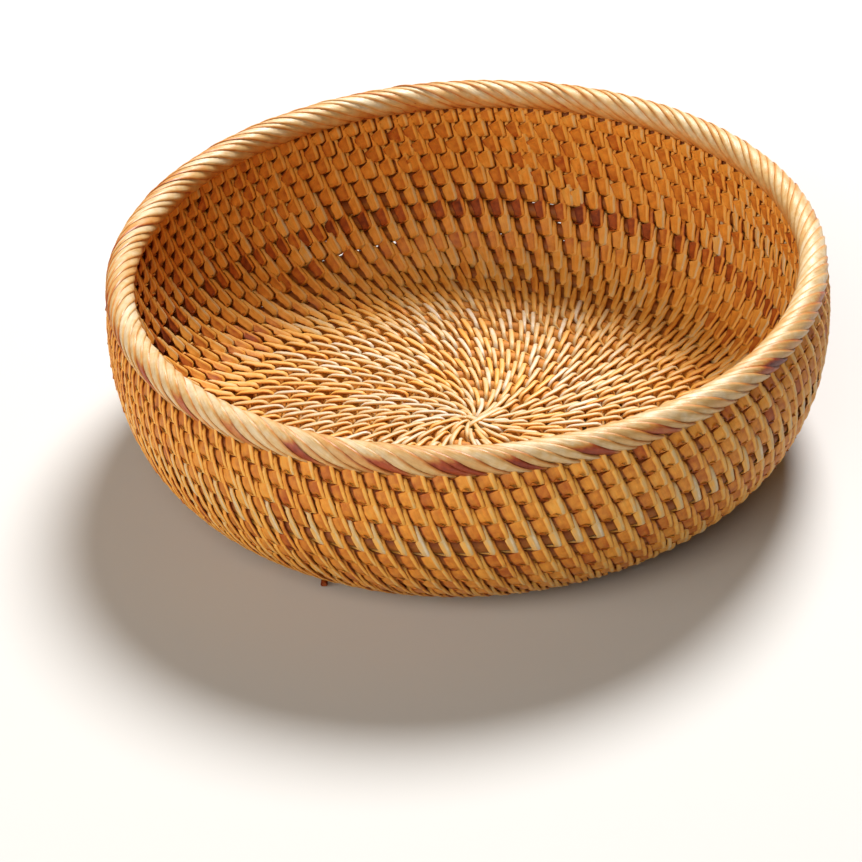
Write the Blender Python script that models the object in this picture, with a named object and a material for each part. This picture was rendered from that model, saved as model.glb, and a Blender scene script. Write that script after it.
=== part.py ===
"""Round coiled rattan bowl with a flat base, a bulging wall and a bound rim.

One long rattan cane lies in a spiral, flat for the base and stacked up the wall. Each turn
of the spiral is sewn to the turn before it with rattan peel. The wall's last turn is shaved
to a taper, so that the rim hoop sits level on it, and four strands of peel wind round the hoop.
Each turn here has the outer shape of its cane with the peel sewn round it.

Units are metres. +Z is up, and the origin is under the middle of the base, on the table.
"""

import math

import bmesh
import bpy
from mathutils import Vector

# Driving dimensions
GAP = 0.0003               # clearance between neighbouring pieces
RIM_RADIUS = 0.110         # outer radius of the rim
RIM_TUBE_RADIUS = 0.0042   # the rim with its binding, across half its section
BASE_FLAT_RADIUS = 0.0754  # where the base starts to turn up
WALL_ARC = 0.0743          # length of the wall's full curve, from the base's edge
WALL_TOP_ANGLE = math.radians(93.6)  # slope at the end of that curve, so it leans in a little
WALL_CURVE_POWER = 1.79    # how much faster the wall turns near the base
HALF_WALL = 0.00305        # half the wall's thickness, cane and peel together
PITCH = 0.00585            # distance from one turn of the coil to the next
KNOT_RADIUS = 0.0020       # inner edge of the first turn, where it starts
SPIRAL_START = math.radians(120.0)

BASE_TURNS = 12
WALL_TURNS = 13
INNER_TURNS = 4            # the tightest turns of the base, which need half as many facets
TURN_FACETS = 28
TAPER_END = 0.83           # share of the last turn after which its shaved tail ends

# Section of one turn: half width along the wall, and half width of its flats
TURN_HALF_WIDTH = PITCH / 2 - GAP / 2
TURN_HALF_FLAT = 0.0015

# Rim
PEEL_THICKNESS = 0.0010
HOOP_RADIUS = 0.0024
HOOP_FACETS = 56
HOOP_SIDES = 6
STRAND_COUNT = 4
STRAND_WIDTH = 0.0023
WRAPS = 32                 # times that each strand goes round the hoop
WRAP_FACETS = 6
CROSSING_LEAD = 0.0022     # how far a strand runs ahead as it crosses the top of the rim

# Cut end of a peel strand, left standing out at the foot of the wall
CUT_END_ANGLE = math.radians(238.0)
CUT_END_RADIUS = 0.0011
CUT_END_LENGTH = 0.0050
CUT_END_SIDES = 8
CUT_END_FOOT = 0.0001      # its clearance above the table

PROFILE_STEPS = 240


def clear_scene():
    """Remove whatever the scene holds."""
    for old in list(bpy.data.objects):
        bpy.data.objects.remove(old, do_unlink=True)


def rattan(name, colour, roughness):
    """Plain rattan finish in the given colour."""
    material = bpy.data.materials.new(name)
    material.use_nodes = True
    shader = material.node_tree.nodes["Principled BSDF"]
    shader.inputs["Base Color"].default_value = (*colour, 1.0)
    shader.inputs["Roughness"].default_value = roughness
    shader.inputs["Metallic"].default_value = 0.0
    return material


def wall_slope(length):
    """Slope of the wall, length being measured from the edge of the flat base."""
    share = min(max(length / WALL_ARC, 0.0), 1.0)
    return WALL_TOP_ANGLE * (1.0 - (1.0 - share) ** WALL_CURVE_POWER)


def wall_curve():
    """Points (radius, height) along the middle of the wall, from the edge of the base."""
    step = WALL_ARC / PROFILE_STEPS
    points = [(BASE_FLAT_RADIUS, HALF_WALL)]
    for i in range(PROFILE_STEPS):
        slope = wall_slope((i + 0.5) * step)
        radius, height = points[-1]
        points.append((radius + step * math.cos(slope), height + step * math.sin(slope)))
    return points


WALL_POINTS = wall_curve()


def profile(distance):
    """Radius, height and slope at a distance from the middle of the base along the bowl."""
    length = distance - BASE_FLAT_RADIUS
    if length <= 0.0:
        return distance, HALF_WALL, 0.0
    place = min(length / WALL_ARC, 1.0) * PROFILE_STEPS
    first = min(int(place), PROFILE_STEPS - 1)
    share = place - first
    (r0, z0), (r1, z1) = WALL_POINTS[first], WALL_POINTS[first + 1]
    return r0 + share * (r1 - r0), z0 + share * (z1 - z0), wall_slope(length)


def on_bowl(distance, angle, along, inward):
    """Point at an angle round the bowl, moved along its profile and towards its inside."""
    radius, height, slope = profile(distance)
    radius += along * math.cos(slope) - inward * math.sin(slope)
    height += along * math.sin(slope) + inward * math.cos(slope)
    return Vector((radius * math.cos(angle), radius * math.sin(angle), height))


def sweep(name, sections, material, closed=False):
    """Closed solid through a row of sections, each a loop of points in the same order."""
    bm = bmesh.new()
    loops = [[bm.verts.new(point) for point in section] for section in sections]
    sides = len(loops[0])
    spans = len(loops) if closed else len(loops) - 1
    for i in range(spans):
        here = loops[i]
        there = loops[(i + 1) % len(loops)]
        for j in range(sides):
            k = (j + 1) % sides
            bm.faces.new((here[j], here[k], there[k], there[j]))
    if not closed:
        bm.faces.new(loops[0][::-1])
        bm.faces.new(loops[-1])
    bmesh.ops.recalc_face_normals(bm, faces=bm.faces)
    mesh = bpy.data.meshes.new(name)
    bm.to_mesh(mesh)
    bm.free()
    mesh.shade_smooth()
    mesh.set_sharp_from_angle(angle=math.radians(50.0))
    mesh.materials.append(material)
    piece = bpy.data.objects.new(name, mesh)
    bpy.context.scene.collection.objects.link(piece)
    return piece


def turn_section(distance, angle, share=1.0):
    """Six-sided section of a turn, flat inside and outside. share narrows it for the taper."""
    half_width = (PITCH * share - GAP) / 2
    half_flat = TURN_HALF_FLAT * half_width / TURN_HALF_WIDTH
    outline = (
        (-half_width, 0.0),
        (-half_flat, -HALF_WALL),
        (half_flat, -HALF_WALL),
        (half_width, 0.0),
        (half_flat, HALF_WALL),
        (-half_flat, HALF_WALL),
    )
    return [on_bowl(distance, angle, along, inward) for along, inward in outline]


def coil_turn(name, number, material):
    """One full turn of the coil. Its end faces stand GAP away from the turns it joins."""
    start = KNOT_RADIUS + PITCH * (number + 0.5)
    facets = TURN_FACETS // 2 if number < INNER_TURNS else TURN_FACETS
    trim = GAP / 2 / (2 * math.pi * start)
    sections = []
    for i in range(facets + 1):
        share = min(max(i / facets, trim), 1.0 - trim)
        angle = SPIRAL_START + 2 * math.pi * share
        sections.append(turn_section(start + PITCH * share, angle))
    return sweep(name, sections, material)


def tapered_turn(name, number, material):
    """The wall's last turn. Its top stays level, and it thins out on the turn that climbs."""
    top = KNOT_RADIUS + PITCH * (number + 1)
    first = GAP / 2 / (2 * math.pi * RIM_RADIUS)
    last = round(TAPER_END * TURN_FACETS)
    sections = []
    for i in range(last + 1):
        share = max(i / TURN_FACETS, first)
        thickness = 1.0 - share
        angle = SPIRAL_START + 2 * math.pi * share
        sections.append(turn_section(top - PITCH * thickness / 2, angle, thickness))
    return sweep(name, sections, material)


def start_knot(name, material):
    """Small drum in the middle of the base, where the peel pulls the first turn tight."""
    radius = KNOT_RADIUS - GAP
    sides = TURN_FACETS // 2
    waist = radius * 0.7
    sections = []
    for height, reach in ((0.0, waist), (HALF_WALL, radius), (2 * HALF_WALL, waist)):
        sections.append([
            Vector((
                reach * math.cos(SPIRAL_START + 2 * math.pi * i / sides),
                reach * math.sin(SPIRAL_START + 2 * math.pi * i / sides),
                height,
            ))
            for i in range(sides)
        ])
    return sweep(name, sections, material)


def rim_centre():
    """Radius and height of the middle of the rim's section."""
    top = KNOT_RADIUS + PITCH * (BASE_TURNS + WALL_TURNS)
    _, height, _ = profile(top)
    return RIM_RADIUS - RIM_TUBE_RADIUS, height + GAP + RIM_TUBE_RADIUS


def on_rim(angle, wrap, reach):
    """Point round the rim's section: wrap 0 is its inner side and a quarter turn is its top."""
    radius, height = rim_centre()
    radius -= reach * math.cos(wrap)
    return Vector((
        radius * math.cos(angle),
        radius * math.sin(angle),
        height + reach * math.sin(wrap),
    ))


def rim_hoop(name, material):
    """Round cane hoop inside the rim's binding."""
    sections = []
    for i in range(HOOP_FACETS):
        angle = 2 * math.pi * i / HOOP_FACETS
        sections.append([
            on_rim(angle, 2 * math.pi * j / HOOP_SIDES, HOOP_RADIUS)
            for j in range(HOOP_SIDES)
        ])
    return sweep(name, sections, material, closed=True)


def strand_angle(wrap, number):
    """Angle round the rim of a strand, after it has wound this far round the hoop."""
    radius, _ = rim_centre()
    wound = wrap / (2 * math.pi) + number / STRAND_COUNT
    lead = CROSSING_LEAD * (1.0 - math.cos(wrap))
    return 2 * math.pi * wound / WRAPS + lead / radius


def binding_strand(name, number, material):
    """One flat strand of peel, wound round the hoop from the inside over the top."""
    radius, _ = rim_centre()
    middle = RIM_TUBE_RADIUS - PEEL_THICKNESS / 2
    steps = WRAPS * WRAP_FACETS
    sections = []
    for i in range(steps):
        wrap = 2 * math.pi * i / WRAP_FACETS
        angle = strand_angle(wrap, number)
        along = radius / WRAPS + CROSSING_LEAD * math.sin(wrap)
        length = math.hypot(along, middle)
        side_angle = STRAND_WIDTH / 2 * middle / length / radius
        side_wrap = STRAND_WIDTH / 2 * along / length / middle
        corners = []
        for side, depth in ((-1, -1), (1, -1), (1, 1), (-1, 1)):
            corners.append(on_rim(
                angle + side * side_angle,
                wrap - side * side_wrap,
                middle + depth * PEEL_THICKNESS / 2,
            ))
        sections.append(corners)
    return sweep(name, sections, material)


def outer_radius_at(height):
    """Radius of the wall's outer skin where it has climbed to a height."""
    step = WALL_ARC / PROFILE_STEPS
    distance = BASE_FLAT_RADIUS
    skin = on_bowl(distance, 0.0, 0.0, -HALF_WALL)
    while skin.z < height:
        distance += step
        skin = on_bowl(distance, 0.0, 0.0, -HALF_WALL)
    return skin.x


def cut_strand_end(name, material):
    """Short stub of peel, trimmed off where a strand was spliced at the foot of the wall."""
    height = CUT_END_RADIUS + CUT_END_FOOT
    start = outer_radius_at(height + CUT_END_RADIUS) + 2 * GAP
    sections = []
    for reach in (start, start + CUT_END_LENGTH):
        centre = Vector((reach * math.cos(CUT_END_ANGLE), reach * math.sin(CUT_END_ANGLE), height))
        across = Vector((-math.sin(CUT_END_ANGLE), math.cos(CUT_END_ANGLE), 0.0))
        up = Vector((0.0, 0.0, 1.0))
        sections.append([
            centre
            + CUT_END_RADIUS * math.cos(2 * math.pi * i / CUT_END_SIDES) * across
            + CUT_END_RADIUS * math.sin(2 * math.pi * i / CUT_END_SIDES) * up
            for i in range(CUT_END_SIDES)
        ])
    return sweep(name, sections, material)


def build():
    """Make every piece of the bowl."""
    clear_scene()
    base = rattan("base_coil", (0.69, 0.43, 0.19), 0.5)
    wall = rattan("wall_coil", (0.41, 0.16, 0.035), 0.5)
    hoop = rattan("rim_hoop", (0.35, 0.14, 0.04), 0.6)
    binding = rattan("rim_binding", (0.65, 0.36, 0.15), 0.45)
    end = rattan("cut_end", (0.16, 0.05, 0.015), 0.6)

    start_knot("start_knot", base)
    for i in range(BASE_TURNS):
        coil_turn(f"base_coil_turn_{i + 1:02d}", i, base)
    for i in range(WALL_TURNS - 1):
        coil_turn(f"wall_coil_turn_{i + 1:02d}", BASE_TURNS + i, wall)
    tapered_turn(f"wall_coil_turn_{WALL_TURNS:02d}_tapered", BASE_TURNS + WALL_TURNS - 1, wall)
    rim_hoop("rim_core_hoop", hoop)
    for i in range(STRAND_COUNT):
        binding_strand(f"rim_binding_strand_{i + 1}", i, binding)
    cut_strand_end("cut_strand_end", end)


build()
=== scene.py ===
"""Looks of the coiled rattan bowl: spiral core cane, peel stitches, bound rim, light and camera.

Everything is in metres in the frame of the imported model. The bowl is built as it is woven. A
core cane runs in a spiral, and a peel strand goes over it and over the turn below it again and
again. Places on the bowl are given by a distance along its profile from the middle of the base,
an angle round it, and an inward offset from the middle of its wall.
"""

import math
from bisect import bisect_right

import bpy
import numpy as np
from mathutils import Matrix, Vector


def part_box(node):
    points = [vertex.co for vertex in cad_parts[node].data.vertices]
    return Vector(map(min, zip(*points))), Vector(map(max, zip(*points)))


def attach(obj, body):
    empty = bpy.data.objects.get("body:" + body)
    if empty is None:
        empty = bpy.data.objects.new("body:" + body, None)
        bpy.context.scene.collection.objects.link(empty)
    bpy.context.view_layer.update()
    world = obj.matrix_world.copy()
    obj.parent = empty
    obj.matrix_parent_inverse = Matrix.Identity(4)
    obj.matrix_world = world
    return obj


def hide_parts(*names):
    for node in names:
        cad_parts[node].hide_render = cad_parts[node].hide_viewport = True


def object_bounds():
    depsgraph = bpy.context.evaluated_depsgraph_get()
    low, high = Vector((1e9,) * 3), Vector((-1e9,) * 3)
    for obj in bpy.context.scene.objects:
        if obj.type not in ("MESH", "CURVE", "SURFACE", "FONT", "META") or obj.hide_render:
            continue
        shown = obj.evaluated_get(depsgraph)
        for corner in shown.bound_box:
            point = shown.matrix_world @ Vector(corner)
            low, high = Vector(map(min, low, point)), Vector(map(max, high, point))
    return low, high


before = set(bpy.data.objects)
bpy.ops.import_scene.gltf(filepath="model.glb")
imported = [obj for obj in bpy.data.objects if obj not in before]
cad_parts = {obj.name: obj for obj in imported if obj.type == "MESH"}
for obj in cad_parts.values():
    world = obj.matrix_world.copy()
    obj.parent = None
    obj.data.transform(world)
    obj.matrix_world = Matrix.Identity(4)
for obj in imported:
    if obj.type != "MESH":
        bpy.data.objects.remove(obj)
cad_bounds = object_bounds()

# Sizes that the frame gives
RIM_LOW, RIM_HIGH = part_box("rim_core_hoop")
HOOP_SIDES = 6             # the hoop's solid has this many sides, and lies on a flat
HOOP_RADIUS = (RIM_HIGH.z - RIM_LOW.z) / 2 / math.cos(math.pi / HOOP_SIDES)
RIM_CENTRE_RADIUS = RIM_HIGH.x - HOOP_RADIUS
RIM_CENTRE_HEIGHT = (RIM_LOW.z + RIM_HIGH.z) / 2
HALF_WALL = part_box("base_coil_turn_01")[1].z / 2

# Driving dimensions of the bowl
PITCH = 0.00585            # distance from one turn of the coil to the next
KNOT_RADIUS = 0.0020       # inner edge of the first turn, where it starts
SPIRAL_START = math.radians(120.0)
BASE_TURNS = 12
WALL_TURNS = 13
TURNS = BASE_TURNS + WALL_TURNS
BASE_FLAT_RADIUS = 0.0754  # where the base starts to turn up
WALL_ARC = 0.0743          # length of the wall's full curve, from the base's edge
WALL_TOP_ANGLE = math.radians(93.6)  # slope at the end of that curve, so it leans in a little
WALL_CURVE_POWER = 1.79    # how much faster the wall turns near the base
WALL_TOP = KNOT_RADIUS + PITCH * TURNS
TAPER_END = 0.83           # share of the last turn after which its shaved tail ends
CORE_ALONG = 0.00236       # half the core cane along the base
CORE_PRESSED = 0.00262     # and along the upper wall, where its turns press together
CORE_THROUGH = 0.00208     # half of it through the wall
RIM_TUBE_RADIUS = 0.0042   # the rim with its binding, across half its section
STRAND_COUNT = 4           # strands of the rim's binding
WRAPS = 32                 # times that each binding strand goes round the hoop
SEEN_WRAP = math.radians(284.0)     # part of each wrap on the rim's surface
SEEN_ADVANCE = 0.039       # distance round the bowl that a strand covers on that part
CUT_END_ANGLE = math.radians(238.0)

# Samples of the geometry
SHARP_EDGE = math.radians(60.0)
PROFILE_STEPS = 1200
ARC_STEPS = 4              # steps in a quarter of a stitch's bend
RUN_SHARES = (0.2, 0.30, 0.36, 0.43, 0.74)    # places along a stitch's straight run
CANE_SIDES = 14
CANE_STEPS = 150           # samples of the core cane in a turn
HOOP_STEPS = 240           # samples of the rim's hoop
WRAP_STEPS = 30            # samples of a binding strand in a wrap

rng = np.random.default_rng(7)


# ---------------------------------------------------------------- places on the bowl

def wall_slope(length):
    """Slope of the wall, length being measured from the edge of the flat base."""
    share = np.clip(length / WALL_ARC, 0.0, 1.0)
    return WALL_TOP_ANGLE * (1.0 - (1.0 - share) ** WALL_CURVE_POWER)


STEP = WALL_ARC / PROFILE_STEPS
MIDDLES = (np.arange(PROFILE_STEPS) + 0.5) * STEP
WALL_DISTANCES = BASE_FLAT_RADIUS + np.arange(PROFILE_STEPS + 1) * STEP
WALL_RADII = BASE_FLAT_RADIUS + np.append(0.0, np.cumsum(np.cos(wall_slope(MIDDLES)) * STEP))
WALL_HEIGHTS = HALF_WALL + np.append(0.0, np.cumsum(np.sin(wall_slope(MIDDLES)) * STEP))


def profile(distance):
    """Radius, height and slope at a distance along the bowl. Past the top the wall runs straight."""
    beyond = np.maximum(distance - WALL_DISTANCES[-1], 0.0)
    radius = np.interp(distance, WALL_DISTANCES, WALL_RADII) + beyond * math.cos(WALL_TOP_ANGLE)
    height = np.interp(distance, WALL_DISTANCES, WALL_HEIGHTS) + beyond * math.sin(WALL_TOP_ANGLE)
    radius = np.where(distance < BASE_FLAT_RADIUS, distance, radius)
    return radius, height, wall_slope(distance - BASE_FLAT_RADIUS)


def on_bowl(distance, angle, inward):
    """Points at a distance along the bowl, an angle round it and an inward offset."""
    radius, height, slope = profile(distance)
    radius = radius - inward * np.sin(slope)
    height = height + inward * np.cos(slope)
    return np.stack([radius * np.cos(angle), radius * np.sin(angle), height], axis=-1)


def on_rim(angle, wrap, reach):
    """Points round the rim's section: wrap 0 is its inner side and a quarter turn is its top."""
    radius = RIM_CENTRE_RADIUS - reach * np.cos(wrap)
    height = RIM_CENTRE_HEIGHT + reach * np.sin(wrap)
    radius, angle, height = np.broadcast_arrays(radius, angle, height)
    return np.stack([radius * np.cos(angle), radius * np.sin(angle), height], axis=-1)


def turn_centre(turn):
    """Distance along the bowl of the middle of the core cane, turn counting from its start."""
    return KNOT_RADIUS + PITCH * (turn + 0.5)


def smooth(low, high, value):
    """Smooth step from 0 at low to 1 at high."""
    share = np.clip((value - low) / (high - low), 0.0, 1.0)
    return share * share * (3.0 - 2.0 * share)


def unit(vectors):
    """The vectors at length 1."""
    return vectors / np.maximum(np.linalg.norm(vectors, axis=-1, keepdims=True), 1e-12)


# ---------------------------------------------------------------- meshes

class MeshParts:
    """Points, quads and strand data of one piece, gathered strip by strip."""

    def __init__(self):
        self.points, self.faces, self.caps = [], [], []
        self.along, self.across, self.tone = [], [], []
        self.count = 0

    def sweep(self, rings, along, across, tone, closed=False):
        """Adds a tube through rings of points, shaped (rings, sides, 3), with capped ends."""
        steps, sides, _ = rings.shape
        index = self.count + np.arange(steps * sides).reshape(steps, sides)
        rows = np.append(index, index[:1], axis=0) if closed else index
        here, there = rows[:-1], rows[1:]
        quads = [here, np.roll(here, -1, 1), np.roll(there, -1, 1), there]
        self.faces.append(np.stack(quads, axis=-1).reshape(-1, 4))
        if not closed:
            self.caps.append(index[0][::-1])
            self.caps.append(index[-1])
        self.points.append(rings.reshape(-1, 3))
        self.along.append(np.repeat(along, sides))
        self.across.append(np.broadcast_to(across, (steps, sides)).ravel())
        self.tone.append(np.broadcast_to(tone, (steps, sides)).ravel())
        self.count += steps * sides

    def build(self, name, material):
        """One mesh object of all that was added."""
        mesh = bpy.data.meshes.new(name)
        quads = np.concatenate(self.faces)
        starts = np.arange(len(quads)) * 4
        loops = [quads.ravel()]
        sizes = [len(cap) for cap in self.caps]
        if sizes:
            loops.append(np.concatenate(self.caps))
            starts = np.append(starts, quads.size + np.append(0, np.cumsum(sizes)[:-1]))
        loops = np.concatenate(loops)
        points = np.concatenate(self.points)
        mesh.vertices.add(len(points))
        mesh.vertices.foreach_set("co", points.astype(np.float32).ravel())
        mesh.loops.add(len(loops))
        mesh.loops.foreach_set("vertex_index", loops.astype(np.int32))
        mesh.polygons.add(len(starts))
        mesh.polygons.foreach_set("loop_start", starts.astype(np.int32))
        mesh.update(calc_edges=True)
        for label in ("along", "across", "tone"):
            data = np.concatenate(getattr(self, label)).astype(np.float32)
            mesh.attributes.new(label, "FLOAT", "POINT").data.foreach_set("value", data)
        mesh.validate()
        mesh.shade_smooth()
        mesh.set_sharp_from_angle(angle=SHARP_EDGE)
        mesh.materials.append(material)
        piece = bpy.data.objects.new(name, mesh)
        bpy.context.scene.collection.objects.link(piece)
        return piece


# Sections of a strand, (across, up) for a unit half width and a unit half thickness
PEEL_SECTION = np.array([
    (-1.0, -0.15), (-0.86, 0.62), (-0.45, 0.93), (0.0, 1.0), (0.45, 0.93), (0.86, 0.62),
    (1.0, -0.15), (0.72, -0.9), (-0.72, -0.9),
])
# The same where the strand has opened out and one edge of it stays folded up as a ridge
FOLDED_SECTION = np.array([
    (-1.0, -0.15), (-0.93, 1.0), (-0.68, 1.5), (-0.44, 1.15), (-0.32, 0.35), (0.80, 0.20),
    (1.0, -0.35), (0.90, -0.9), (-0.80, -0.9),
])
MIRRORED_SECTION = FOLDED_SECTION[[6, 5, 4, 3, 2, 1, 0, 8, 7]] * (-1.0, 1.0)
# Tone added at each point of the folded section: a painted highlight on the standing ridge, and
# painted shade at its foot, at the edges and underneath
FOLD_HIGHLIGHT_AND_SHADE = np.array([-0.08, 0.10, 0.16, 0.06, -0.22, 0.0, -0.08, -0.10, -0.10])
MIRRORED_HIGHLIGHT_AND_SHADE = FOLD_HIGHLIGHT_AND_SHADE[[6, 5, 4, 3, 2, 1, 0, 8, 7]]


def ribbon(parts, path, normals, width, thickness, tone, closed=False, skew=0.0, tilt=0.0,
           fold=0.0):
    """Adds a flat strand along a path. normals point away from what the strand lies on.

    skew moves the strand's middle aside, as a share of its half width. tilt is the slope across
    it, and above 0 lowers the side that a skew above 0 moves to. fold, from -1 to 1, is how far
    one edge stands up as a ridge: the other side's edge above 0, and that side's below 0. A fold
    also adds a painted highlight on the ridge, and painted shade at its foot, edges and underside.
    """
    ahead = np.roll(path, -1, 0) - np.roll(path, 1, 0)
    if not closed:
        ahead[0], ahead[-1] = path[1] - path[0], path[-1] - path[-2]
    ahead = unit(ahead)
    level = unit(np.cross(ahead, normals))
    upright = np.cross(level, ahead)
    lean = np.broadcast_to(tilt, len(path))[:, None]
    side = level * np.cos(lean) - upright * np.sin(lean)
    up = upright * np.cos(lean) + level * np.sin(lean)
    folded = np.broadcast_to(fold, len(path))[:, None]
    left, right = np.maximum(folded, 0.0), np.maximum(-folded, 0.0)
    section = (
        PEEL_SECTION
        + left[:, :, None] * (FOLDED_SECTION - PEEL_SECTION)
        + right[:, :, None] * (MIRRORED_SECTION - PEEL_SECTION)
    )
    across, rise = section[:, :, 0], section[:, :, 1]
    reach = (across + np.broadcast_to(skew, width.shape)[:, None]) * width[:, None] / 2
    rings = (
        path[:, None]
        + side[:, None] * reach[:, :, None]
        + up[:, None] * rise[:, :, None] * (thickness[:, None, None] / 2)
    )
    tones = np.asarray(tone)
    tones = tones[:, None] if tones.ndim == 1 else tones
    # Painted highlight on the fold's ridge, and painted shade at its foot and edges
    tones = tones + left * FOLD_HIGHLIGHT_AND_SHADE + right * MIRRORED_HIGHLIGHT_AND_SHADE
    lengths = np.append(0.0, np.cumsum(np.linalg.norm(np.diff(path, axis=0), axis=1)))
    parts.sweep(rings, lengths, PEEL_SECTION[:, 0], tones, closed)


# ---------------------------------------------------------------- how the bowl is sewn

def wall_share(turn):
    """0 on the flat base and 1 on the upper wall."""
    return smooth(10.5, 18.5, np.asarray(turn, float))


STITCH_PITCH = 0.0042      # spacing of the stitches in the middle of the base
STITCH_PITCH_GAIN = 0.0021  # how much wider it is where the wall is widest
WIDEST_RADIUS = 0.107


def stitch_pitch(radius):
    """Spacing of the stitches, wider on the wall than in the tight turns of the base."""
    return STITCH_PITCH + STITCH_PITCH_GAIN * radius / WIDEST_RADIUS


PEEL_WIDTHS_ENDS = (0.00168, 0.0053)    # width of the peel on the base and on the upper wall
PEEL_THICKNESS = 0.00090   # on the base
PEEL_THINNING = 0.00035    # how much thinner it is on the upper wall
RIDING = 0.0001            # how far a stitch rides over those below it, on the base
RIDING_GAIN = 0.00022      # how much further on the upper wall
SQUEEZED = 0.0019          # width of a stitch where it comes out between those of the turn above
WIDTH_VARIATION = 0.06     # spread of the stitches' widths, as a share
INNER_SKEW, OUTER_SKEW = 0.75, 0.92      # how much of its opening out goes to one side
STITCH_TILT = math.radians(6.0)        # slope across an opened stitch outside, on the upper wall
INNER_TILT_EXTRA = 0.8                 # how much more it slopes inside the bowl
SQUEEZED_THICKNESS = 0.0002            # extra thickness on the wall where it is squeezed
INNER_LEAN = -0.0019       # sideways run over one turn inside the bowl, on the base
INNER_LEAN_GAIN = 0.0009   # what the upper wall adds to it
INNER_LEAN_OPENED = 0.15   # and what opening out takes off, as a share of the opening
OUTER_LEAN = 0.0019        # sideways run over one turn on the outside
OUTER_LEAN_LOSS = 0.0003   # what the last turns below the rim take off it


def opening(turn):
    """How far a stitch of the usual width opens out, to one side, on the lower cane."""
    narrow, wide = PEEL_WIDTHS_ENDS
    return np.maximum(narrow + (wide - narrow) * wall_share(turn) - SQUEEZED, 0.0) / 2


def inner_lean(turn):
    """Sideways run of a stitch inside the bowl over one turn downwards, clockwise if below 0."""
    return INNER_LEAN + INNER_LEAN_GAIN * wall_share(turn) - INNER_LEAN_OPENED * opening(turn)


def outer_lean(turn):
    """The same on the outside."""
    return OUTER_LEAN - OUTER_LEAN_LOSS * smooth(19.0, 24.0, np.asarray(turn, float))


def inner_step(turn):
    """Distance round the bowl between a stitch's middle on the upper and on the lower cane."""
    return inner_lean(turn) + INNER_SKEW * opening(turn)


def outer_step(turn):
    """The same on the outside."""
    return outer_lean(turn) - OUTER_SKEW * opening(turn)


FREE_TURNS = 1.2           # the first stitches, which have none to go between
LEAST_GAP = 0.5            # a gap below this share of the wanted spacing takes no stitch
PAIR_GAP, OWED_PAIR_GAP = 1.45, 1.15     # gaps above these take two, the second if any are owed
PAIR_INSET = 0.25          # where two stitches lie in their gap
SINGLE_MARGIN = 0.33       # how near to the gap's sides a single one may lie
TO_GAP_MIDDLE, TO_EVEN = 0.3, 0.7        # pull towards the gap's middle and to even spacing
SEWN_ON = 0.02             # how far each is set onwards, as a share of the spacing
SEWN_SPREAD = 0.02         # spread of the stitches' places, as a share of the spacing
MOST_OWED = 1.5


def places_in_gap(left, right, here, wanted, paired, noise):
    """Turn counts of the one stitch, or of the two, that go into a gap."""
    width = right - left
    if paired:
        return [left + PAIR_INSET * width + noise, right - PAIR_INSET * width + noise]
    even = min(max(here + wanted, left + SINGLE_MARGIN * width), right - SINGLE_MARGIN * width)
    return [TO_GAP_MIDDLE * (left + right) / 2 + TO_EVEN * even + SEWN_ON * wanted + noise]


def sew():
    """Turn count at each stitch, along the whole spiral, on the inner side of the bowl.

    Each stitch goes between two stitches of the turn below, evenly spaced as far as their gap
    allows. Two go into one gap as often as the bowl widens.
    """
    turns = [0.0]
    gap = 0                    # number of the gap of the turn below that is next
    since_pair = 0
    owed = 0.0                 # stitches still to be added to keep the wanted spacing
    while turns[-1] < TURNS + 1.0:
        here = turns[-1]
        radius = float(profile(np.array(turn_centre(here)))[0])
        wanted = float(stitch_pitch(radius)) / (2 * math.pi * radius)
        above = 1.0 - float(inner_step(here)) / (2 * math.pi * radius)
        if here < FREE_TURNS:
            turns.append(here + wanted)
            gap = bisect_right(turns, turns[-1] - above)
            continue
        left, right = turns[gap] + above, turns[gap + 1] + above
        width = right - left
        gap += 1
        if width < LEAST_GAP * wanted:
            continue
        noise = wanted * float(rng.normal(0.0, SEWN_SPREAD))
        since_pair += 1
        pair_gap = OWED_PAIR_GAP if owed > 0.5 else PAIR_GAP
        paired = since_pair > 1 and width > pair_gap * wanted
        since_pair = 0 if paired else since_pair
        places = places_in_gap(left, right, here, wanted, paired, noise)
        owed = owed + (places[-1] - here) / wanted - len(places)
        owed = min(max(owed, -MOST_OWED), MOST_OWED)
        turns += places
    return np.array(turns)


INNER_STITCHES = sew()


DRIFT_SAMPLES = 2600       # samples of the turns' offset along the whole spiral


def outer_stitches():
    """Turn count at each stitch on the outer side, where every turn is offset on its own."""
    grid = np.linspace(0.0, TURNS + 1.0, DRIFT_SAMPLES)
    radius = profile(turn_centre(grid))[0]
    slip = (inner_step(grid) - outer_step(grid)) / (2 * math.pi * radius)
    drift = np.append(0.0, np.cumsum((slip[1:] + slip[:-1]) / 2 * np.diff(grid)))
    moved = INNER_STITCHES + np.interp(INNER_STITCHES, grid, drift)
    return moved[moved >= 0.0]


OUTER_STITCHES = outer_stitches()


def bend_template():
    """One stitch as (upper, angle, run) samples, from over the cane, down outside and up inside.

    upper is 1 on the upper cane and 0 on the lower one, angle goes round the cane from its top
    towards the outside, and run is the share of the straight run between the two canes.
    """
    quarter = math.pi / 2
    bend = np.linspace(0.0, quarter, ARC_STEPS + 1)
    run = np.array(RUN_SHARES)
    still = np.zeros_like(bend)
    upper = np.concatenate([still + 1, 1 - run, still, still[1:], 1 - run[::-1], still + 1])
    angle = np.concatenate([
        bend, run * 0 + quarter, quarter + bend, 2 * quarter + bend[1:],
        run * 0 + 3 * quarter, 3 * quarter + bend,
    ])
    return upper[:-1], angle[:-1]


BEND_UPPER, BEND_ANGLE = bend_template()

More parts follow.
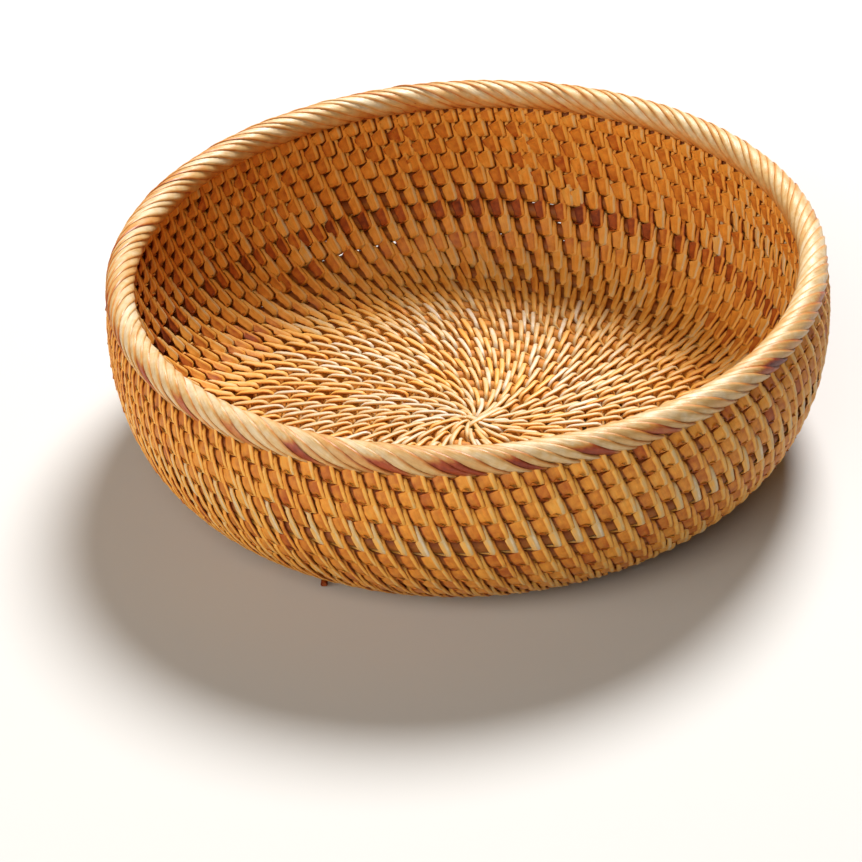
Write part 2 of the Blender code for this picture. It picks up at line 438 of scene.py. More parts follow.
# Peel strands in the order they were sewn in: turn where it starts, tone, width
PEELS = (
    (0.0, 0.84, 0.92), (3.1, 0.78, 1.0), (5.2, 0.86, 0.95), (7.1, 0.80, 1.05), (8.9, 0.84, 1.0),
    (10.3, 0.76, 1.0), (11.5, 0.68, 1.0), (12.4, 0.64, 0.95), (13.3, 0.58, 0.9),
    (14.1, 0.66, 0.85), (15.0, 0.50, 0.95), (15.8, 0.60, 0.9), (16.6, 0.52, 0.95),
    (17.5, 0.68, 0.8), (18.35, 0.54, 0.95), (18.7, 0.33, 0.85), (19.15, 0.50, 1.0),
    (19.6, 0.66, 0.8), (20.3, 0.50, 1.0), (21.15, 0.78, 0.55), (21.75, 0.52, 1.0),
    (22.6, 0.55, 1.05), (23.5, 0.50, 1.0), (24.4, 0.56, 1.0), (25.2, 0.52, 1.0),
)
PEEL_STARTS, PEEL_TONES, PEEL_WIDTHS = np.array(PEELS).T


def peel_of(turn):
    """Tone and relative width of the peel strand that is in use at a turn count."""
    number = np.clip(np.searchsorted(PEEL_STARTS, turn, side="right") - 1, 0, len(PEELS) - 1)
    return PEEL_TONES[number], PEEL_WIDTHS[number]


INNERMOST = 0.0034         # the first stitches meet in the middle of the base


class Cane:
    """Where the cane of a turn lies: distance along the bowl and its half sizes."""

    def __init__(self, centre, along, through):
        self.centre, self.along, self.through = centre, along, through


LEAST_THROUGH = 0.55       # size of the tapered end through the wall, as a share
BELOW_BINDING = 0.3        # how far out the stitches over the hoop lie, as a share of its radius


def tapered_through(thickness):
    """Size of the tapered tail through the wall, as a share, from its share along the wall."""
    return LEAST_THROUGH + (1.0 - LEAST_THROUGH) * thickness


def cane_at(row, turn):
    """Cane of a row at each turn count. Rows past the last turn lie on the rim's hoop."""
    along = core_along(turn)
    if row < TURNS - 1:
        centre = np.maximum(turn_centre(turn), INNERMOST)
        return Cane(centre, along, np.full_like(turn, CORE_THROUGH))
    if row == TURNS - 1:
        thickness = np.clip(TURNS - turn, 0.03, 1.0)
        through = CORE_THROUGH * tapered_through(thickness)
        return Cane(WALL_TOP - PITCH * thickness / 2, along * thickness, through)
    hoop = np.full_like(turn, HOOP_RADIUS)
    centre = np.full_like(turn, WALL_TOP + RIM_TUBE_RADIUS)
    return Cane(centre, hoop, hoop * BELOW_BINDING)


LOOSER_HALFWAY = 0.35      # how much less the turns halfway up the wall are pressed together


def core_along(turn):
    """Half size of the core cane along the bowl, larger where its turns are pressed together."""
    halfway = smooth(15.0, 16.5, turn) * smooth(20.5, 19.5, turn)
    pressed = smooth(9.0, 11.5, turn) - LOOSER_HALFWAY * halfway
    return CORE_ALONG + (CORE_PRESSED - CORE_ALONG) * pressed


ROUND_SECTION = 0.92       # power that rounds a stitch's bend on the base, 1 being an ellipse
SQUARER_ON_WALL = 0.24     # how much lower it is on the upper wall, for squarer bends


def peel_sizes(turn):
    """Full width and thickness of the peel, and how far it rides over the stitches below."""
    share = wall_share(turn)
    narrow, wide = PEEL_WIDTHS_ENDS
    width = (narrow + (wide - narrow) * share) * peel_of(turn)[1]
    thickness = PEEL_THICKNESS - PEEL_THINNING * share
    over = RIDING + RIDING_GAIN * share
    return width, thickness, over


TOP_WIDTH, TOP_WIDTH_GAIN = 0.66, 0.22   # shares of the squeezed width over the upper cane
RUN_WIDTH, RUN_WIDTH_GAIN = 0.88, 0.12   # and on the straight run
END_TAPER = 0.14           # how much narrower an opened stitch gets towards its lower end
TUCKED = 0.55              # and how much narrower where it goes in under the lower cane


def stitch_width(upper, bend, full):
    """Width of a stitch along its path, and its squeezed width.

    It is squeezed between the stitches of the turn above, opens out where it comes from under
    them, and is drawn in again where it goes in under the lower cane.
    """
    from_face = np.abs(np.abs(bend - math.pi) - math.pi / 2) / (math.pi / 2)
    from_face = np.where(upper * (1.0 - upper) > 0.0, 0.0, from_face)
    on_top = SQUEEZED * (TOP_WIDTH + TOP_WIDTH_GAIN * (1.0 - from_face))
    on_run = SQUEEZED * (RUN_WIDTH + RUN_WIDTH_GAIN * smooth(1.0, 0.6, upper))
    squeezed = np.minimum(np.where(upper == 1.0, on_top, on_run), full)
    below = full * (1.0 - END_TAPER * smooth(0.5, 0.0, upper))
    below = below * (1.0 - TUCKED * smooth(0.58, 0.92, from_face) * (upper == 0.0))
    opened = np.maximum(below, 0.6 * squeezed) - squeezed
    return squeezed + opened * smooth(0.71, 0.56, upper), squeezed


def round_the_canes(row, turn, upper, bend, thickness, over):
    """Where a stitch's middle runs round its two canes.

    Gives the canes' centre along the bowl, and from there the stitch's offset along the bowl,
    its inward offset and the most that the inward offset comes to.
    """
    top, low = cane_at(row, turn), cane_at(row - 1, turn - 1.0)
    face = np.sin(bend) ** 2
    lift = thickness / 2 + (1.0 - upper) * over * face
    along = upper * top.along + (1.0 - upper) * low.along + lift
    through = upper * top.through + (1.0 - upper) * low.through + lift
    centre = upper * top.centre + (1.0 - upper) * low.centre
    squareness = ROUND_SECTION - SQUARER_ON_WALL * wall_share(turn)
    offset = along * np.sign(np.cos(bend)) * np.abs(np.cos(bend)) ** squareness
    inward = -through * np.sign(np.sin(bend)) * np.abs(np.sin(bend)) ** squareness
    return centre, offset, inward, through


def leaning_turn(turn, distance, upper, bend, inside, runs):
    """Turn count along a stitch, which leans on both sides and crosses over to its neighbours.

    runs are the turn counts of its outer and its inner run, of the next stitch's outer run and
    of the inner run before.
    """
    outer, inner, outer_next, inner_before = runs
    leading = (bend < math.pi / 2) & (upper > 0.5)
    trailing = (bend > 1.5 * math.pi) & (upper > 0.5)
    outer_turn = np.where(trailing, outer_next[:, None], outer[:, None])
    inner_turn = np.where(leading, inner_before[:, None], inner[:, None])
    middle = turn_centre(turn)
    radius = profile(middle)[0]
    drop = (middle - distance) / PITCH / (2 * math.pi * radius)
    outer_turn = outer_turn + outer_lean(turn) * drop
    inner_turn = inner_turn + inner_lean(turn) * drop
    return outer_turn * (1.0 - inside) + inner_turn * inside


def bend_normals(distance, angle, bend):
    """Directions away from the canes round a stitch's bend."""
    slope = profile(distance)[2]
    radial = np.cos(bend) * np.cos(slope) + np.sin(bend) * np.sin(slope)
    height = np.cos(bend) * np.sin(slope) - np.sin(bend) * np.cos(slope)
    return np.stack([radial * np.cos(angle), radial * np.sin(angle), height], axis=-1)


LOW_TILT, SHOULDER_TILT = 0.4, 1.4       # shares of the tilt all along, and added higher up
FULL_TILT = 2.0            # how soon a stitch that opens out has its tilt
FULL_FOLD = 1.8            # and how soon it has its fold


def opened_shape(turn, upper, bend, inside, opened):
    """Skew, tilt and fold of a stitch, where opened is the share of its width it opened by."""
    skew = (OUTER_SKEW * (1.0 - inside) - INNER_SKEW * inside) * opened
    shoulder = LOW_TILT + SHOULDER_TILT * smooth(0.2, 0.55, upper)
    tilt = STITCH_TILT * shoulder * wall_share(turn) * (1.0 + INNER_TILT_EXTRA * inside)
    tilt = tilt * np.minimum(FULL_TILT * opened, 1.0)
    turned_in = np.abs(np.cos(bend)) * (upper == 0.0)
    folded = np.minimum(FULL_FOLD * opened, 1.0) * smooth(0.95, 0.4, turned_in)
    fold = (1.0 - 2.0 * inside) * folded
    return skew, tilt, fold


def stitch_loops(row, outer, inner, outer_next, inner_before, first, last):
    """Peel of some stitches: points, normals, widths, thicknesses, skews, tilts and folds.

    outer and inner hold the turn count of each stitch's two runs. first and last cut the
    template, so that a lone run can be made as well.
    """
    upper, bend = BEND_UPPER[None, first:last], BEND_ANGLE[None, first:last]
    turn = outer[:, None] + 0.0 * bend
    vary = rng.normal(0.0, WIDTH_VARIATION, len(outer))
    full, thickness, over = peel_sizes(turn)
    width, squeezed = stitch_width(upper, bend, full * (1.0 + vary[:, None]))
    thickness = thickness + SQUEEZED_THICKNESS * wall_share(turn) * smooth(0.52, 0.72, upper)
    centre, offset, inward, through = round_the_canes(row, turn, upper, bend, thickness, over)
    inside = smooth(-0.8, 0.8, inward / through)
    distance = centre + offset
    runs = (outer, inner, outer_next, inner_before)
    turn_here = leaning_turn(turn, distance, upper, bend, inside, runs)
    distance = distance + (turn_here - turn) * PITCH * (row < TURNS - 1)
    angle = SPIRAL_START + 2 * math.pi * turn_here
    points = on_bowl(distance, angle, inward)
    normals = bend_normals(distance, angle, bend)
    opened = np.maximum(width - squeezed, 0.0) / width
    skew, tilt, fold = opened_shape(turn, upper, bend, inside, opened)
    return points, normals, width, thickness, skew, tilt, fold


def flat(values, axis_size=None):
    """Stitch by stitch samples as one row."""
    return values.reshape(-1, axis_size) if axis_size else values.reshape(-1)


HALF = len(BEND_ANGLE) // 2


def sew_turn(row):
    """Peel stitches of one turn, as one strand that runs on from stitch to stitch."""
    parts = MeshParts()
    outer = OUTER_STITCHES[(OUTER_STITCHES >= row) & (OUTER_STITCHES < row + 1)]
    inner = INNER_STITCHES[(INNER_STITCHES >= row) & (INNER_STITCHES < row + 1)]
    pairs = min(len(outer), len(inner))
    loops_outer, loops_inner = outer[:pairs], inner[:pairs]
    outer_next = np.append(loops_outer[1:], loops_inner[-1])
    inner_before = np.append(loops_outer[0], loops_inner[:-1])
    made = stitch_loops(row, loops_outer, loops_inner, outer_next, inner_before, 0, None)
    add_strand(parts, row, loops_outer, made)
    for spare in outer[pairs:]:
        place = np.array([spare])
        add_strand(parts, row, place, stitch_loops(row, place, place, place, place, 0, HALF + 1))
    for spare in inner[pairs:]:
        place = np.array([spare])
        add_strand(parts, row, place, stitch_loops(row, place, place, place, place, HALF, None))
    return parts


def add_strand(parts, row, turns, made):
    """Adds the ribbon of some stitches with their tones and small differences in width."""
    points, normals, width, thickness, skew, tilt, fold = made
    samples = points.shape[1]
    tone = np.repeat(stitch_tone(turns), samples)
    ribbon(
        parts, flat(points, 3), flat(normals, 3), flat(width), flat(thickness), tone,
        skew=flat(skew), tilt=flat(tilt), fold=flat(fold),
    )


TONE_SPREAD = 0.09         # spread of the stitches' tones on the base
TONE_EVENNESS = 0.035      # how much less it is on the upper wall


def stitch_tone(turns):
    """Tone of each stitch, from 0, dark red-brown, to 1, cream."""
    spread = TONE_SPREAD - TONE_EVENNESS * wall_share(turns)
    return np.clip(peel_of(turns)[0] + rng.normal(0.0, spread), 0.02, 0.98)


# ---------------------------------------------------------------- core canes

def cane_section():
    """Angles round a cane."""
    return 2 * math.pi * np.arange(CANE_SIDES) / CANE_SIDES


WOBBLE = 0.02              # unevenness of the cane, as a share of its thickness
WOBBLES = 61.0             # how fast it changes along the cane
THIN_START = 0.35          # thickness of the cane's shaved start, as a share


def core_cane(first_turn, last_turn, tone):
    """Round core cane of the spiral between two turn counts."""
    parts = MeshParts()
    steps = int((last_turn - first_turn) * CANE_STEPS)
    turn = np.linspace(first_turn, last_turn, steps + 1)[:, None]
    round_angle = cane_section()[None, :]
    tapered = np.clip(TURNS - turn, 0.0, 1.0)
    thin_start = THIN_START + (1.0 - THIN_START) * smooth(-0.5, 0.5, turn)
    centre = np.where(turn > TURNS - 1, WALL_TOP - PITCH * tapered / 2, turn_centre(turn))
    along = core_along(turn) * tapered * thin_start
    through = CORE_THROUGH * tapered_through(tapered) * thin_start
    wobble = 1.0 + WOBBLE * np.sin(turn * WOBBLES + 3 * round_angle)
    distance = centre + along * wobble * np.cos(round_angle)
    inward = -through * wobble * np.sin(round_angle)
    rings = on_bowl(distance, SPIRAL_START + 2 * math.pi * turn, inward)
    length = np.append(0.0, np.cumsum(np.linalg.norm(np.diff(rings[:, 0], axis=0), axis=1)))
    parts.sweep(rings, length, round_angle[0] / math.pi - 1.0, tone)
    return parts


# Tones of the core canes: their own brown, darkened as painted shade where they show in the gaps
# between stitches, most on the wall and the hoop
BASE_CANE_TONE_AND_SHADE, WALL_CANE_TONE_AND_SHADE, HOOP_TONE_AND_SHADE = 0.38, 0.12, 0.1
CANE_START = -0.55         # turn count where the shaved start of the cane lies


def rim_hoop():
    """Cane hoop inside the rim's binding, deepened below to meet the top of the wall."""
    parts = MeshParts()
    angle = np.linspace(0.0, 2 * math.pi, HOOP_STEPS + 1)[:-1, None]
    wrap = cane_section()[None, :]
    lowered = HOOP_RADIUS + (RIM_TUBE_RADIUS - HOOP_RADIUS) * smooth(0.2, 0.9, -np.sin(wrap))
    rings = on_rim(angle, wrap, lowered)
    across = wrap[0] / math.pi - 1.0
    parts.sweep(rings, angle[:, 0] * RIM_CENTRE_RADIUS, across, HOOP_TONE_AND_SHADE, closed=True)
    return parts


# ---------------------------------------------------------------- rim binding

BINDING_WIDTH = 0.0035
BINDING_THICKNESS = 0.0011
BINDING_TILT = math.radians(11.0)
BINDING_FULLNESS = 1.03    # mean width of the strands at their crossings, as a share
BINDING_VARIATION = 0.13   # and its spread
BINDING_DRIFT = 0.0004     # spread of the strands' places under the rim
SUNK_OUTWARDS = 0.00035    # how much further out the strands lie under the rim
OUTER_NARROWING = 0.32     # how much narrower a strand is low on the outside
UNDER_NARROWING = 0.2      # and at the bottom, inside
# Painted shade: the binding is darker low on the inside of the rim, where that face lies in shade
INNER_PAINTED_SHADE = 0.22         # how much darker it is low on the inside
BARK_WIDTH = 0.25          # share of a strand's width that its bark takes up inside
BINDING_TONE = 0.78
BINDING_TONE_SPREAD = 0.07
RED_STRAND, OTHER_STRANDS = 0.75, 0.16   # chance of a streak of bark at a crossing
BARK_DEPTH, BARK_DEPTH_SPREAD = 0.40, 0.30
FAINT_BARK = 0.10          # most that the other crossings are darkened


def wrap_advance(wrap):
    """Distance round the bowl at an angle of the wrap, counted on from wrap to wrap.

    A strand slants over the rim's surface, and comes back a little through the wall below it.
    """
    spacing = 2 * math.pi * RIM_CENTRE_RADIUS / WRAPS
    from_top = np.mod(wrap - math.pi / 2 + math.pi, 2 * math.pi) - math.pi
    half = SEEN_WRAP / 2
    over = np.clip(from_top, -half, half) / half * SEEN_ADVANCE / 2
    under = np.sign(from_top) * np.maximum(np.abs(from_top) - half, 0.0) / (math.pi - half)
    number = np.round((wrap - math.pi / 2 - from_top) / (2 * math.pi))
    return number * spacing + over + under * (spacing - SEEN_ADVANCE) / 2


def binding_strand(number):
    """One flat strand of peel, wound round the hoop from the inside over the top."""
    parts = MeshParts()
    steps = WRAPS * WRAP_STEPS
    wrap = 2 * math.pi * np.arange(steps) / WRAP_STEPS
    crossing = np.arange(steps) // WRAP_STEPS
    start = 2 * math.pi * number / STRAND_COUNT / WRAPS
    drift = rng.normal(0.0, BINDING_DRIFT, WRAPS)[crossing] * np.sin(wrap / 2) ** 2
    angle = start + (wrap_advance(wrap) + drift) / RIM_CENTRE_RADIUS
    height = np.sin(wrap)
    reach = RIM_TUBE_RADIUS - BINDING_THICKNESS / 2 + SUNK_OUTWARDS * smooth(0.3, -0.8, height)
    path = on_rim(angle, wrap, reach)
    normals = unit(path - on_rim(angle, wrap, 0.0))
    sizes = (BINDING_FULLNESS + rng.normal(0.0, BINDING_VARIATION, WRAPS))[crossing]
    outer_low = smooth(0.1, 0.7, -np.cos(wrap)) * smooth(0.5, -0.6, height)
    # Where the painted shade falls, low on the inside of the rim
    shaded_inner_low = smooth(0.1, 0.7, np.cos(wrap)) * smooth(0.5, -0.3, height)
    width = BINDING_WIDTH * sizes * (1.0 - OUTER_NARROWING * outer_low)
    width = width * (1.0 - UNDER_NARROWING * smooth(-0.6, -0.95, height) * (1.0 - outer_low))
    pale, bark = binding_tones(number)
    outer_end = smooth(0.1, 1.0, -np.cos(wrap)) * smooth(0.95, 0.1, height)
    reach_of_bark = (BARK_WIDTH + (1.0 - BARK_WIDTH) * outer_end)[:, None] * 2.0 - 1.0
    barked = smooth(-0.5, 0.5, reach_of_bark + PEEL_SECTION[:, 0])
    # Painted shade darkens the binding low on the inside of the rim
    pale_tones_with_shade = (pale[crossing] - INNER_PAINTED_SHADE * shaded_inner_low)[:, None]
    tones = pale_tones_with_shade - bark[crossing][:, None] * barked
    thickness = np.full(steps, BINDING_THICKNESS)
    ribbon(parts, path, normals, width, thickness, tones, closed=True, tilt=BINDING_TILT)
    return parts


def binding_tones(number):
    """Tone of a strand at each of its crossings, and how much darker its streak of bark is."""
    pale = BINDING_TONE + rng.normal(0.0, BINDING_TONE_SPREAD, WRAPS)
    red = rng.random(WRAPS) < (RED_STRAND if number == 0 else OTHER_STRANDS)
    streaked = BARK_DEPTH + BARK_DEPTH_SPREAD * rng.random(WRAPS)
    return pale, np.where(red, streaked, FAINT_BARK * rng.random(WRAPS))


# ---------------------------------------------------------------- cut end and knot

# Strands across the middle of the base: start, middle and end of their curve, and extra height
CROSSINGS = (
    ((-0.0026, -0.0046), (0.0030, -0.0004), (0.0098, 0.0060), 0.0004),
    ((-0.0034, 0.0016), (0.0002, 0.0010), (0.0022, -0.0030), 0.0000),
)
CROSSING_SAMPLES = 21
CROSSING_ENDS_WIDTH = 0.0012
CROSSING_SWELL = 0.0007    # how much wider a strand is between its ends
CROSSING_THICKNESS = 0.0008
CROSSING_SUNK = 0.0022     # depth of its ends in the weave
CROSSING_RISE = 0.0018     # how far it rises from there between its ends
CROSSING_TONE = 0.88


def start_knot():
    """Start of the peel in the middle of the base, where one long stitch crosses the others."""
    parts = MeshParts()
    for side in (1.0, -1.0):
        for start, middle, end, lift in CROSSINGS:
            add_crossing(parts, side, np.array(start), np.array(middle), np.array(end), lift)
    return parts


def add_crossing(parts, side, start, middle, end, lift):
    """Adds one strand across the middle, above the base for side 1 and below it for side -1."""
    share = np.linspace(0.0, 1.0, CROSSING_SAMPLES)[:, None]
    flat_path = (1 - share) ** 2 * start + 2 * share * (1 - share) * middle + share ** 2 * end
    ends = 1.0 - np.abs(2 * share[:, 0] - 1.0) ** 6
    height = HALF_WALL + side * (HALF_WALL - CROSSING_SUNK + CROSSING_RISE * ends + lift)
    path = np.column_stack([flat_path, height])
    normals = np.zeros_like(path)
    normals[:, 2] = side
    width = CROSSING_ENDS_WIDTH + CROSSING_SWELL * ends
    thickness = np.full(CROSSING_SAMPLES, CROSSING_THICKNESS)
    ribbon(parts, path, normals, width, thickness, CROSSING_TONE)


STUB_SAMPLES = 12
STUB_INSET = 0.0034        # how far it starts inwards of the middle of its solid
STUB_LENGTH = 0.0038
STUB_ARCH = 0.0003         # how far it arches up
STUB_BEND = 0.012          # angle round the bowl that it bends by
STUB_WIDTH, STUB_THICKNESS = 0.0021, 0.0016
STUB_TONE, STUB_DARKENING = 0.20, 0.12   # tone where it starts, and how much darker it ends


def cut_strand_end():
    """Stub of peel left standing out at the foot of the wall, bent and cut off square."""
    parts = MeshParts()
    low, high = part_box("cut_strand_end")
    height = (low.z + high.z) / 2
    start = math.hypot(high.x + low.x, high.y + low.y) / 2 - STUB_INSET
    share = np.linspace(0.0, 1.0, STUB_SAMPLES)
    reach = start + STUB_LENGTH * share
    rise = height + STUB_ARCH * np.sin(share * math.pi)
    angle = CUT_END_ANGLE + STUB_BEND * share ** 2
    path = np.stack([reach * np.cos(angle), reach * np.sin(angle), rise], axis=-1)
    normals = np.zeros_like(path)
    normals[:, 2] = 1.0
    width = np.full(STUB_SAMPLES, STUB_WIDTH)
    thickness = np.full(STUB_SAMPLES, STUB_THICKNESS)
    ribbon(parts, path, normals, width, thickness, STUB_TONE - STUB_DARKENING * share)
    return parts


# ---------------------------------------------------------------- materials

def node(tree, kind, **settings):
    """A shader node with its settings."""
    made = tree.nodes.new(kind)
    for key, value in settings.items():
        setattr(made, key, value)
    return made


FIBRE_STRETCH = (140.0, 3.2, 9.0)   # fineness of the fibres along, across and by tone
FIBRE_RANGE = (0.3, 0.7)   # usual values of the fibre noise
BLOTCH_SCALE = 420.0       # fineness of the blotches of tone
BLOTCH_DEPTH = 0.34
# A strand darkens at its edges: partly the brown of the peel's cut edges, partly painted shade in
# the gaps between strands
EDGE_SHARPNESS = 4.0       # how close to its edges a strand darkens
EDGE_BROWN_AND_SHADE_DEPTH = 0.35
BLOTCH_CENTRE = 0.17       # half of the blotches' depth, taken off again
SMOOTHER, ROUGHER = 0.07, 0.09      # how far the fibres move the roughness
FIBRE_HEIGHT = 0.0003


def fibre_noise(tree, along, across, tone):
    """Fine noise drawn out along the strand."""
    strand = node(tree, "ShaderNodeCombineXYZ")
    tree.links.new(along, strand.inputs["X"])
    tree.links.new(across, strand.inputs["Y"])
    tree.links.new(tone, strand.inputs["Z"])
    stretched = node(tree, "ShaderNodeMapping")
    stretched.inputs["Scale"].default_value = FIBRE_STRETCH
    tree.links.new(strand.outputs["Vector"], stretched.inputs["Vector"])
    fibres = node(tree, "ShaderNodeTexNoise")
    fibres.inputs["Scale"].default_value = 1.0
    fibres.inputs["Detail"].default_value = 5.0
    fibres.inputs["Roughness"].default_value = 0.65
    tree.links.new(stretched.outputs["Vector"], fibres.inputs["Vector"])
    return fibres.outputs["Fac"]


def shaded_tone(tree, across, tone):
    """Tone with blotches, and darker along the strand's edges: partly the brown of the peel's cut
    edges, partly painted shade in the gaps between strands.
    """
    place = node(tree, "ShaderNodeNewGeometry")
    blotches = node(tree, "ShaderNodeTexNoise")
    blotches.inputs["Scale"].default_value = BLOTCH_SCALE
    blotches.inputs["Detail"].default_value = 3.0
    tree.links.new(place.outputs["Position"], blotches.inputs["Vector"])
    shifted = node(tree, "ShaderNodeMath", operation="MULTIPLY_ADD")
    tree.links.new(blotches.outputs["Fac"], shifted.inputs[0])
    shifted.inputs[1].default_value = BLOTCH_DEPTH
    tree.links.new(tone, shifted.inputs[2])
    edge_size = node(tree, "ShaderNodeMath", operation="ABSOLUTE")
    tree.links.new(across, edge_size.inputs[0])
    edge = node(tree, "ShaderNodeMath", operation="POWER")
    tree.links.new(edge_size.outputs[0], edge.inputs[0])
    edge.inputs[1].default_value = EDGE_SHARPNESS
    # Darkening at the edges: cut-edge brown and painted shade in the gaps
    edge_brown_and_shade = node(tree, "ShaderNodeMath", operation="MULTIPLY_ADD")
    tree.links.new(edge.outputs[0], edge_brown_and_shade.inputs[0])
    edge_brown_and_shade.inputs[1].default_value = EDGE_BROWN_AND_SHADE_DEPTH
    edge_brown_and_shade.inputs[2].default_value = BLOTCH_CENTRE
    centred = node(tree, "ShaderNodeMath", operation="SUBTRACT")
    tree.links.new(shifted.outputs[0], centred.inputs[0])
    tree.links.new(edge_brown_and_shade.outputs[0], centred.inputs[1])
    return centred.outputs[0]


def tone_colour(tree, stops, tone):
    """Colour of a tone on a ramp of (tone, colour) stops."""
    ramp = node(tree, "ShaderNodeValToRGB")
    elements = ramp.color_ramp.elements
    while len(elements) < len(stops):
        elements.new(0.5)
    for element, (position, colour) in zip(elements, stops, strict=True):
        element.position = position
        element.color = (*colour, 1.0)
    tree.links.new(tone, ramp.inputs["Fac"])
    return ramp.outputs["Color"]


def by_fibre(tree, fibres, low, high):
    """A value that goes from low to high with the fibres."""
    scaled = node(tree, "ShaderNodeMapRange")
    scaled.inputs["From Min"].default_value = FIBRE_RANGE[0]
    scaled.inputs["From Max"].default_value = FIBRE_RANGE[1]
    scaled.inputs["To Min"].default_value = low
    scaled.inputs["To Max"].default_value = high
    tree.links.new(fibres, scaled.inputs["Value"])
    return scaled.outputs["Result"]


def rattan(name, stops, roughness, gleam, grain, bump):
    """Rattan with fibres along the strand. stops are (tone, colour) pairs of its tone ramp."""
    material = bpy.data.materials.new(name)
    material.use_nodes = True
    tree = material.node_tree
    shader = tree.nodes["Principled BSDF"]
    shader.inputs["Specular IOR Level"].default_value = gleam
    tone, along, across = (
        node(tree, "ShaderNodeAttribute", attribute_name=label).outputs["Fac"]
        for label in ("tone", "along", "across")
    )
    fibres = fibre_noise(tree, along, across, tone)
    tinted = node(tree, "ShaderNodeMix", data_type="RGBA", blend_type="MULTIPLY")
    tinted.inputs["Factor"].default_value = 1.0
    tree.links.new(tone_colour(tree, stops, shaded_tone(tree, across, tone)), tinted.inputs["A"])
    tree.links.new(by_fibre(tree, fibres, 1.0 - grain, 1.0 + grain * 0.5), tinted.inputs["B"])
    tree.links.new(tinted.outputs["Result"], shader.inputs["Base Color"])
    gloss = by_fibre(tree, fibres, roughness - SMOOTHER, roughness + ROUGHER)
    tree.links.new(gloss, shader.inputs["Roughness"])
    ridges = node(tree, "ShaderNodeBump")
    ridges.inputs["Strength"].default_value = bump
    ridges.inputs["Distance"].default_value = FIBRE_HEIGHT
    tree.links.new(fibres, ridges.inputs["Height"])
    tree.links.new(ridges.outputs["Normal"], shader.inputs["Normal"])
    return material


# Stops of the tone ramps, each a tone and its colour
PEEL_STOPS = (
    (0.0, (0.13, 0.018, 0.003)),
    (0.18, (0.38, 0.080, 0.010)),
    (0.42, (0.70, 0.280, 0.034)),
    (0.62, (0.77, 0.400, 0.080)),
    (0.84, (0.62, 0.450, 0.230)),
    (1.0, (0.70, 0.590, 0.460)),
)
RIM_STOPS = (
    (0.0, (0.13, 0.010, 0.002)),
    (0.22, (0.34, 0.055, 0.012)),
    (0.48, (0.54, 0.220, 0.045)),
    (0.72, (0.60, 0.385, 0.160)),
    (0.88, (0.66, 0.520, 0.330)),
    (1.0, (0.72, 0.630, 0.450)),
)
CORE_STOPS = (
    (0.0, (0.22, 0.050, 0.006)),
    (0.5, (0.66, 0.260, 0.030)),
    (1.0, (0.76, 0.400, 0.090)),
)


FLOOR_TONE = 0.56
FLOOR_REACH = 6.0
FLOOR_GAP = 0.0001         # how far it lies below the lowest solid


def pale_floor():
    """Plain pale matt floor."""
    material = bpy.data.materials.new("pale_floor")
    material.use_nodes = True
    tree = material.node_tree
    shader = tree.nodes["Principled BSDF"]
    shader.inputs["Base Color"].default_value = (FLOOR_TONE, FLOOR_TONE, FLOOR_TONE, 1.0)
    shader.inputs["Roughness"].default_value = 0.9
    mesh = bpy.data.meshes.new("floor")
    reach = FLOOR_REACH
    corners = [(-reach, -reach, 0), (reach, -reach, 0), (reach, reach, 0), (-reach, reach, 0)]
    mesh.from_pydata(corners, [], [(0, 1, 2, 3)])
    mesh.materials.append(material)
    floor = bpy.data.objects.new("floor", mesh)
    floor.location.z = min(cad_bounds[0].z, 0.0) - FLOOR_GAP
    bpy.context.scene.collection.objects.link(floor)


# ---------------------------------------------------------------- light and camera

# Name, azimuth, elevation, distance, size, power and colour
LIGHTS = (
    ("key", 67.0, 54.0, 2.4, 0.93, 110.0, (1.0, 0.975, 0.945)),
    ("fill", 208.0, 15.0, 1.6, 1.1, 14.5, (1.0, 0.92, 0.80)),
    ("front", 250.0, 40.0, 1.6, 1.1, 11.0, (1.0, 0.92, 0.80)),
)


def area_light(name, azimuth, elevation, distance, size, power, colour):
    """Round soft light aimed at the bowl. Azimuth is counter-clockwise from +X."""
    data = bpy.data.lights.new(name, "AREA")
    data.shape = "DISK"
    data.size = size
    data.energy = power
    data.color = colour
    lamp = bpy.data.objects.new(name, data)
    a, e = math.radians(azimuth), math.radians(elevation)
    towards = Vector((math.cos(a) * math.cos(e), math.sin(a) * math.cos(e), math.sin(e)))
    lamp.location = towards * distance
    lamp.rotation_mode = "QUATERNION"
    lamp.rotation_quaternion = towards.to_track_quat("Z", "Y")
    bpy.context.scene.collection.objects.link(lamp)


def studio_light():
    """Soft key from behind on the right, low fill from the left, a weak light from the front
    and a very dim surround."""
    for light in LIGHTS:
        area_light(*light)
    world = bpy.data.worlds.new("surround")
    world.use_nodes = True
    background = world.node_tree.nodes["Background"]
    background.inputs["Color"].default_value = (1.0, 0.94, 0.88, 1.0)
    background.inputs["Strength"].default_value = 0.01
    bpy.context.scene.world = world
    bpy.context.scene.view_settings.view_transform = "Standard"


# Angles in radians
CAMERA_DISTANCE = 1.10
CAMERA_ELEVATION = 0.5773
CAMERA_TARGET = Vector((0.0, 0.0, 0.033))
CAMERA_YAW = -0.012149     # looks a little left of the target
CAMERA_PITCH = 0.02344     # and a little below it
CAMERA_ROLL = -0.058958
CAMERA_LENS = 147.9


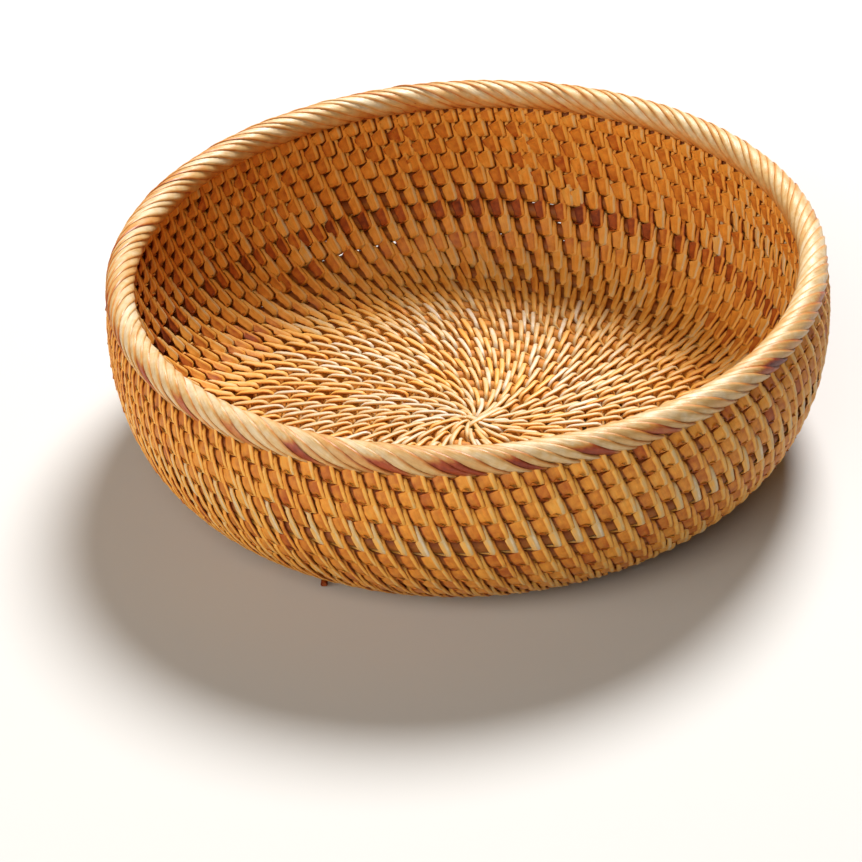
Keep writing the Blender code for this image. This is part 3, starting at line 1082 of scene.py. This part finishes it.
def camera():
    """Camera at the photographed angle, 33 degrees up and with a small roll."""
    data = bpy.data.cameras.new("camera")
    data.lens = CAMERA_LENS
    data.sensor_width = 36.0
    data.clip_end = 100.0
    eye = bpy.data.objects.new("camera", data)
    back = Vector((0.0, -math.cos(CAMERA_ELEVATION), math.sin(CAMERA_ELEVATION)))
    level_up = Vector((0.0, math.sin(CAMERA_ELEVATION), math.cos(CAMERA_ELEVATION)))
    forward = -back + Vector((math.tan(CAMERA_YAW), 0.0, 0.0)) - level_up * math.tan(CAMERA_PITCH)
    forward.normalize()
    right = forward.cross(Vector((0.0, 0.0, 1.0))).normalized()
    up = right.cross(forward)
    side = right * math.cos(CAMERA_ROLL) + up * math.sin(CAMERA_ROLL)
    top = up * math.cos(CAMERA_ROLL) - right * math.sin(CAMERA_ROLL)
    turned = Matrix((side, top, -forward)).transposed().to_4x4()
    turned.translation = CAMERA_TARGET + back * CAMERA_DISTANCE
    eye.matrix_world = turned
    bpy.context.scene.collection.objects.link(eye)
    bpy.context.scene.camera = eye


# ---------------------------------------------------------------- the pieces

def place(piece, slot, *nodes):
    """Rides the piece on the basket and hides the solids it stands for. The slot is not used."""
    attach(piece, "root")
    if nodes:
        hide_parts(*nodes)


def turn_node(number):
    """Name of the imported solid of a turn, counted from 0."""
    if number < BASE_TURNS:
        return f"base_coil_turn_{number + 1:02d}"
    wall = number - BASE_TURNS + 1
    return f"wall_coil_turn_{wall:02d}" + ("_tapered" if wall == WALL_TURNS else "")


def build():
    """Make every piece of the bowl, the floor, the light and the camera."""
    camera()
    studio_light()
    pale_floor()
    base_peel = rattan("base_peel", PEEL_STOPS, 0.42, 0.4, 0.16, 0.35)
    wall_peel = rattan("wall_peel", PEEL_STOPS, 0.50, 0.25, 0.18, 0.4)
    rim_peel = rattan("rim_peel", RIM_STOPS, 0.40, 0.42, 0.18, 0.45)
    core = rattan("core_cane", CORE_STOPS, 0.6, 0.3, 0.25, 0.5)

    base_core = core_cane(CANE_START, BASE_TURNS, BASE_CANE_TONE_AND_SHADE)
    place(base_core.build("core_cane_base", core), "base_coil")
    wall_core = core_cane(BASE_TURNS, TURNS - 1 + TAPER_END, WALL_CANE_TONE_AND_SHADE)
    place(wall_core.build("core_cane_wall", core), "wall_coil")
    for row in range(TURNS):
        slot, peel = ("base_coil", base_peel) if row < BASE_TURNS else ("wall_coil", wall_peel)
        side = "base" if row < BASE_TURNS else "wall"
        number = row + 1 if row < BASE_TURNS else row - BASE_TURNS + 1
        piece = sew_turn(row).build(f"{side}_stitches_{number:02d}", peel)
        place(piece, slot, turn_node(row))
    place(sew_turn(TURNS).build("rim_stitches", wall_peel), "wall_coil")
    place(start_knot().build("start_crossing", base_peel), "base_coil", "start_knot")
    place(rim_hoop().build("rim_hoop_cane", core), "rim_hoop", "rim_core_hoop")
    for number in range(STRAND_COUNT):
        piece = binding_strand(number).build(f"rim_strand_{number + 1}", rim_peel)
        place(piece, "rim_binding", f"rim_binding_strand_{number + 1}")
    place(cut_strand_end().build("cut_peel_end", wall_peel), "cut_end", "cut_strand_end")


build()
